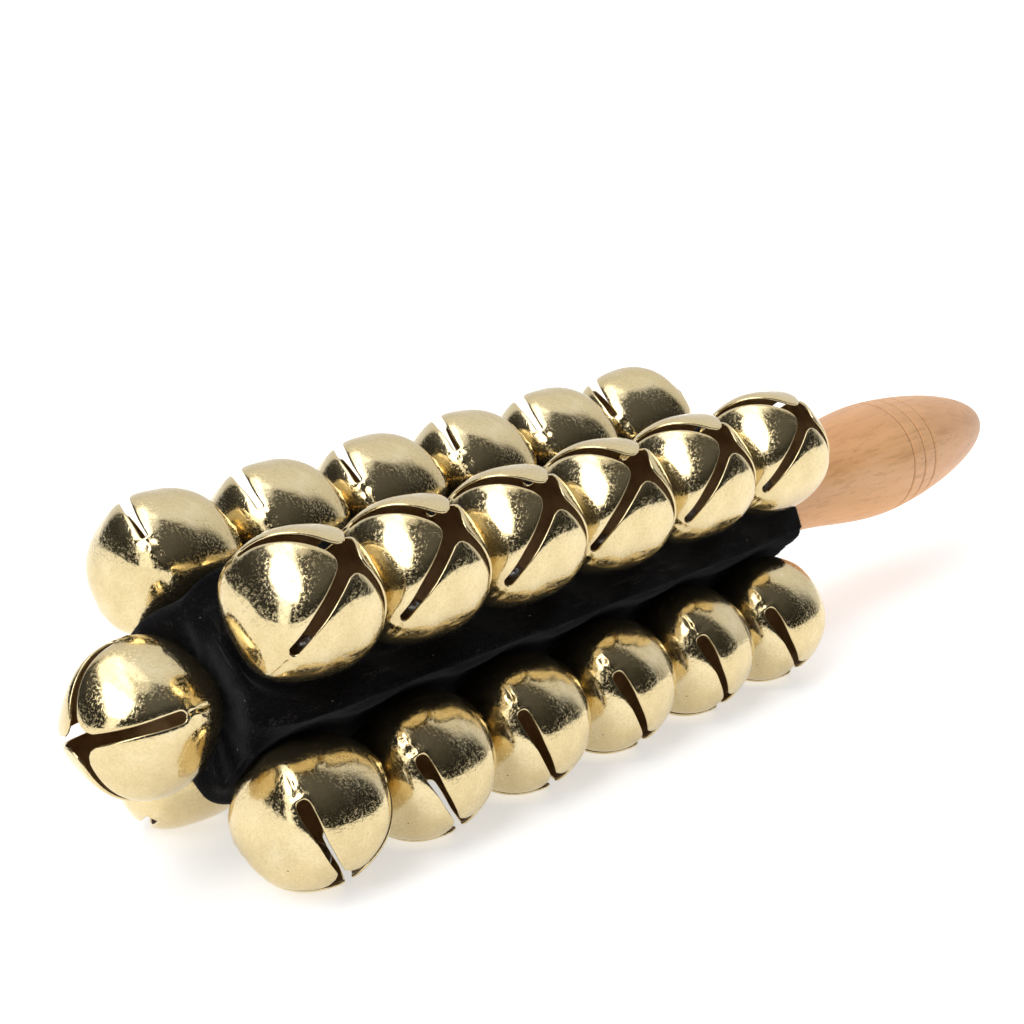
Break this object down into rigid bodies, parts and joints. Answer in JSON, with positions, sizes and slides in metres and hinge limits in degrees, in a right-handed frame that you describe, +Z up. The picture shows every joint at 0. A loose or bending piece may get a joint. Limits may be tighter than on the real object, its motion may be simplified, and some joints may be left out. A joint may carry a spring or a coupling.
{
  "type": "hand-held sleigh bells",
  "caption": "Jingle bells in rows round a velvet-covered wooden bar, with one on its end and a turned wooden handle to shake it by.",
  "frame": {"origin": "middle of the box's underside, on the surface that the two lower rows lie on", "axes": "+X along the stick towards the handle's tip, +Z up; the rows face 45 degrees up and down to each side"},
  "size_m": [0.2858, 0.0656, 0.0657],
  "materials": {
    "bell_metal": "polished, pale champagne gold",
    "pellet_steel": "tumbled",
    "core_wood": "sawn",
    "velvet": "short black pile",
    "handle_wood": "satin varnish"
  },
  "bodies": {
    "stick": {"core_bar": "core_wood", "velvet_cover": "velvet", "handle": "handle_wood", "bell_upper_front_1": "bell_metal", "bell_upper_front_2": "bell_metal", "bell_upper_front_3": "bell_metal", "bell_upper_front_4": "bell_metal", "bell_upper_front_5": "bell_metal", "bell_upper_front_6": "bell_metal", "bell_upper_back_1": "bell_metal", "bell_upper_back_2": "bell_metal", "bell_upper_back_3": "bell_metal", "bell_upper_back_4": "bell_metal", "bell_upper_back_5": "bell_metal", "bell_upper_back_6": "bell_metal", "bell_lower_front_1": "bell_metal", "bell_lower_front_2": "bell_metal", "bell_lower_front_3": "bell_metal", "bell_lower_front_4": "bell_metal", "bell_lower_front_5": "bell_metal", "bell_lower_front_6": "bell_metal", "bell_lower_back_1": "bell_metal", "bell_lower_back_2": "bell_metal", "bell_lower_back_3": "bell_metal", "bell_lower_back_4": "bell_metal", "bell_lower_back_5": "bell_metal", "bell_lower_back_6": "bell_metal", "bell_end": "bell_metal"},
    "pellet_upper_front_1": {"pellet_upper_front_1": "pellet_steel"},
    "pellet_upper_front_2": {"pellet_upper_front_2": "pellet_steel"},
    "pellet_upper_front_3": {"pellet_upper_front_3": "pellet_steel"},
    "pellet_upper_front_4": {"pellet_upper_front_4": "pellet_steel"},
    "pellet_upper_front_5": {"pellet_upper_front_5": "pellet_steel"},
    "pellet_upper_front_6": {"pellet_upper_front_6": "pellet_steel"},
    "pellet_upper_back_1": {"pellet_upper_back_1": "pellet_steel"},
    "pellet_upper_back_2": {"pellet_upper_back_2": "pellet_steel"},
    "pellet_upper_back_3": {"pellet_upper_back_3": "pellet_steel"},
    "pellet_upper_back_4": {"pellet_upper_back_4": "pellet_steel"},
    "pellet_upper_back_5": {"pellet_upper_back_5": "pellet_steel"},
    "pellet_upper_back_6": {"pellet_upper_back_6": "pellet_steel"},
    "pellet_lower_front_1": {"pellet_lower_front_1": "pellet_steel"},
    "pellet_lower_front_2": {"pellet_lower_front_2": "pellet_steel"},
    "pellet_lower_front_3": {"pellet_lower_front_3": "pellet_steel"},
    "pellet_lower_front_4": {"pellet_lower_front_4": "pellet_steel"},
    "pellet_lower_front_5": {"pellet_lower_front_5": "pellet_steel"},
    "pellet_lower_front_6": {"pellet_lower_front_6": "pellet_steel"},
    "pellet_lower_back_1": {"pellet_lower_back_1": "pellet_steel"},
    "pellet_lower_back_2": {"pellet_lower_back_2": "pellet_steel"},
    "pellet_lower_back_3": {"pellet_lower_back_3": "pellet_steel"},
    "pellet_lower_back_4": {"pellet_lower_back_4": "pellet_steel"},
    "pellet_lower_back_5": {"pellet_lower_back_5": "pellet_steel"},
    "pellet_lower_back_6": {"pellet_lower_back_6": "pellet_steel"},
    "pellet_end": {"pellet_end": "pellet_steel"}
  },
  "joints": [
    {"name": "pellet_upper_front_1_roll", "type": "slide", "parent": "stick", "child": "pellet_upper_front_1", "axis": [0, 0, 1], "range_m": [0, 0.018]},
    {"name": "pellet_upper_front_2_roll", "type": "slide", "parent": "stick", "child": "pellet_upper_front_2", "axis": [0, 0, 1], "range_m": [0, 0.018]},
    {"name": "pellet_upper_front_3_roll", "type": "slide", "parent": "stick", "child": "pellet_upper_front_3", "axis": [0, 0, 1], "range_m": [0, 0.018]},
    {"name": "pellet_upper_front_4_roll", "type": "slide", "parent": "stick", "child": "pellet_upper_front_4", "axis": [0, 0, 1], "range_m": [0, 0.018]},
    {"name": "pellet_upper_front_5_roll", "type": "slide", "parent": "stick", "child": "pellet_upper_front_5", "axis": [0, 0, 1], "range_m": [0, 0.018]},
    {"name": "pellet_upper_front_6_roll", "type": "slide", "parent": "stick", "child": "pellet_upper_front_6", "axis": [0, 0, 1], "range_m": [0, 0.018]},
    {"name": "pellet_upper_back_1_roll", "type": "slide", "parent": "stick", "child": "pellet_upper_back_1", "axis": [0, 0, 1], "range_m": [0, 0.018]},
    {"name": "pellet_upper_back_2_roll", "type": "slide", "parent": "stick", "child": "pellet_upper_back_2", "axis": [0, 0, 1], "range_m": [0, 0.018]},
    {"name": "pellet_upper_back_3_roll", "type": "slide", "parent": "stick", "child": "pellet_upper_back_3", "axis": [0, 0, 1], "range_m": [0, 0.018]},
    {"name": "pellet_upper_back_4_roll", "type": "slide", "parent": "stick", "child": "pellet_upper_back_4", "axis": [0, 0, 1], "range_m": [0, 0.018]},
    {"name": "pellet_upper_back_5_roll", "type": "slide", "parent": "stick", "child": "pellet_upper_back_5", "axis": [0, 0, 1], "range_m": [0, 0.018]},
    {"name": "pellet_upper_back_6_roll", "type": "slide", "parent": "stick", "child": "pellet_upper_back_6", "axis": [0, 0, 1], "range_m": [0, 0.018]},
    {"name": "pellet_lower_front_1_roll", "type": "slide", "parent": "stick", "child": "pellet_lower_front_1", "axis": [0, 0, 1], "range_m": [0, 0.018]},
    {"name": "pellet_lower_front_2_roll", "type": "slide", "parent": "stick", "child": "pellet_lower_front_2", "axis": [0, 0, 1], "range_m": [0, 0.018]},
    {"name": "pellet_lower_front_3_roll", "type": "slide", "parent": "stick", "child": "pellet_lower_front_3", "axis": [0, 0, 1], "range_m": [0, 0.018]},
    {"name": "pellet_lower_front_4_roll", "type": "slide", "parent": "stick", "child": "pellet_lower_front_4", "axis": [0, 0, 1], "range_m": [0, 0.018]},
    {"name": "pellet_lower_front_5_roll", "type": "slide", "parent": "stick", "child": "pellet_lower_front_5", "axis": [0, 0, 1], "range_m": [0, 0.018]},
    {"name": "pellet_lower_front_6_roll", "type": "slide", "parent": "stick", "child": "pellet_lower_front_6", "axis": [0, 0, 1], "range_m": [0, 0.018]},
    {"name": "pellet_lower_back_1_roll", "type": "slide", "parent": "stick", "child": "pellet_lower_back_1", "axis": [0, 0, 1], "range_m": [0, 0.018]},
    {"name": "pellet_lower_back_2_roll", "type": "slide", "parent": "stick", "child": "pellet_lower_back_2", "axis": [0, 0, 1], "range_m": [0, 0.018]},
    {"name": "pellet_lower_back_3_roll", "type": "slide", "parent": "stick", "child": "pellet_lower_back_3", "axis": [0, 0, 1], "range_m": [0, 0.018]},
    {"name": "pellet_lower_back_4_roll", "type": "slide", "parent": "stick", "child": "pellet_lower_back_4", "axis": [0, 0, 1], "range_m": [0, 0.018]},
    {"name": "pellet_lower_back_5_roll", "type": "slide", "parent": "stick", "child": "pellet_lower_back_5", "axis": [0, 0, 1], "range_m": [0, 0.018]},
    {"name": "pellet_lower_back_6_roll", "type": "slide", "parent": "stick", "child": "pellet_lower_back_6", "axis": [0, 0, 1], "range_m": [0, 0.018]},
    {"name": "pellet_end_roll", "type": "slide", "parent": "stick", "child": "pellet_end", "axis": [0, 0, 1], "range_m": [0, 0.018]}
  ]
}
